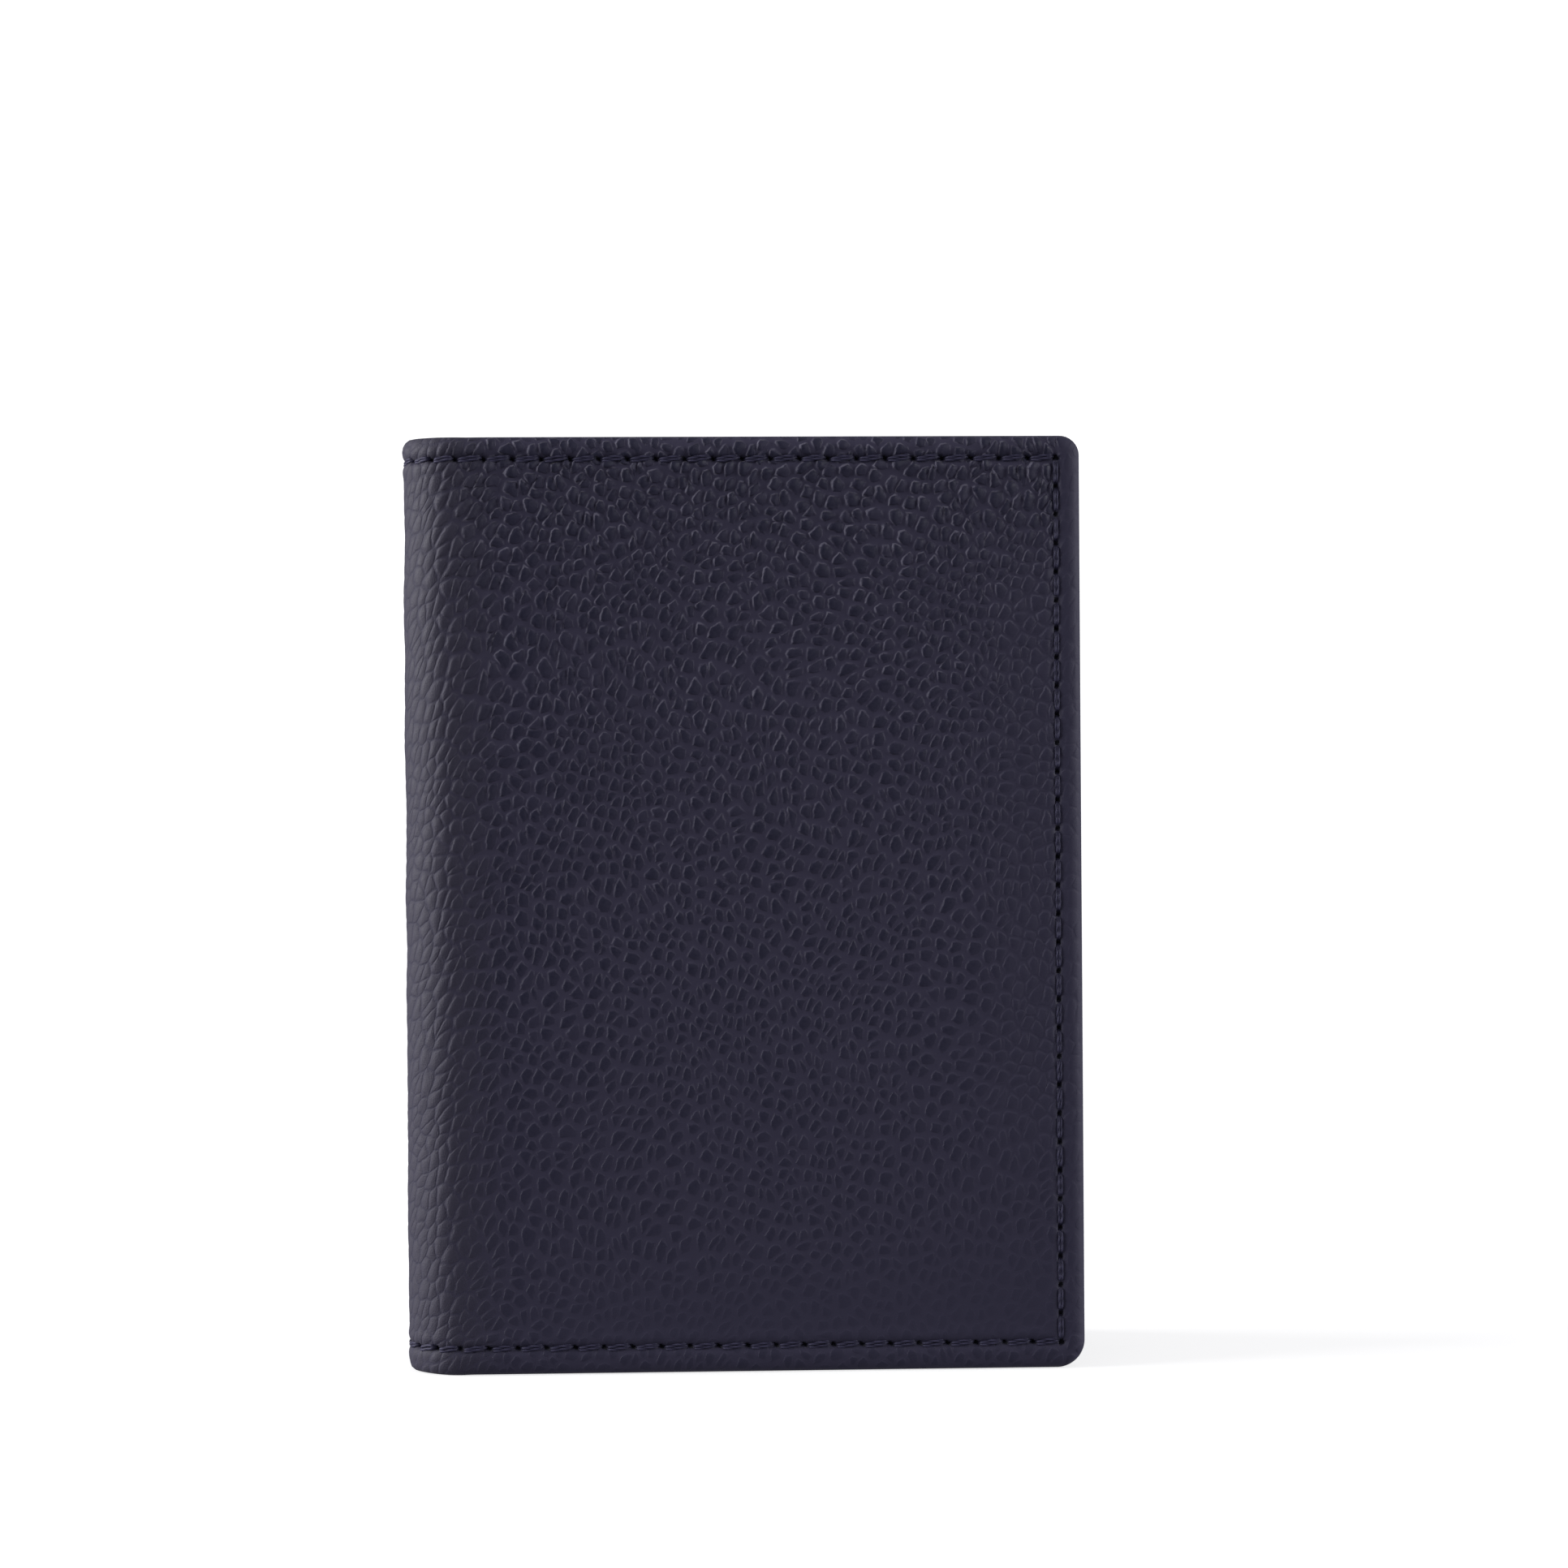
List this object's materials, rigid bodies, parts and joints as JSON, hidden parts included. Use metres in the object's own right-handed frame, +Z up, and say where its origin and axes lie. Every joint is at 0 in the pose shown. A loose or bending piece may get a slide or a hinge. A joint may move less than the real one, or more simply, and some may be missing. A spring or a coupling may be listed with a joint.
{
  "type": "folding card holder",
  "caption": "Folding card holder in grained leather with a soft spine, stitched edges, stepped card slots and a slip pocket in each cover; it stands ajar and opens flat.",
  "frame": {"origin": "centre of the footprint of the holder's box as it stands ajar, on the surface it stands on", "axes": "+Z up along the fold; the spine is at -X and the free edges at +X; the front cover is at -Y and the back cover at +Y; -Y is the front"},
  "size_m": [0.0746, 0.0288, 0.104],
  "materials": {
    "outer_leather": "pebbled grain with a soft sheen, dark navy",
    "pocket_leather": "finely grained, dark navy, creased along the slot mouths",
    "lining_leather": "smooth matt, navy",
    "stem_cloth": "fine matt weave, dark navy",
    "thread": "twisted waxed thread, navy",
    "board": "matt grey stiffener board",
    "reinforcement": "matt bonded leather, brown"
  },
  "bodies": {
    "back": {"back_cover_leather": "outer_leather", "back_turned_edge": "outer_leather", "back_stiffener": "board", "back_lining": "lining_leather", "back_slip_pocket": "pocket_leather", "back_rear_card_strip": "pocket_leather", "back_middle_card_strip": "pocket_leather", "back_card_pocket": "pocket_leather", "back_rear_stem": "stem_cloth", "back_middle_stem": "stem_cloth", "back_stitching": "thread"},
    "spine": {"spine_leather": "outer_leather", "spine_turned_edges": "outer_leather", "spine_reinforcement": "reinforcement", "spine_lining": "lining_leather", "spine_stitching": "thread"},
    "front": {"front_cover_leather": "outer_leather", "front_turned_edge": "outer_leather", "front_stiffener": "board", "front_lining": "lining_leather", "front_slip_pocket": "pocket_leather", "front_rear_card_strip": "pocket_leather", "front_middle_card_strip": "pocket_leather", "front_card_pocket": "pocket_leather", "front_rear_stem": "stem_cloth", "front_middle_stem": "stem_cloth", "front_stitching": "thread"}
  },
  "joints": [
    {"name": "back_fold", "type": "hinge", "parent": "back", "child": "spine", "pos_m": [-0.03561, 0.00385, 0.052], "axis": [0, 0, -1], "range_deg": [-7, 83]},
    {"name": "front_fold", "type": "hinge", "parent": "spine", "child": "front", "pos_m": [-0.03561, -0.00385, 0.052], "axis": [0, 0, -1], "range_deg": [-7, 83]}
  ],
  "couplings": [
    {"joint": "back_fold", "follows": "front_fold", "ratio": 1}
  ]
}
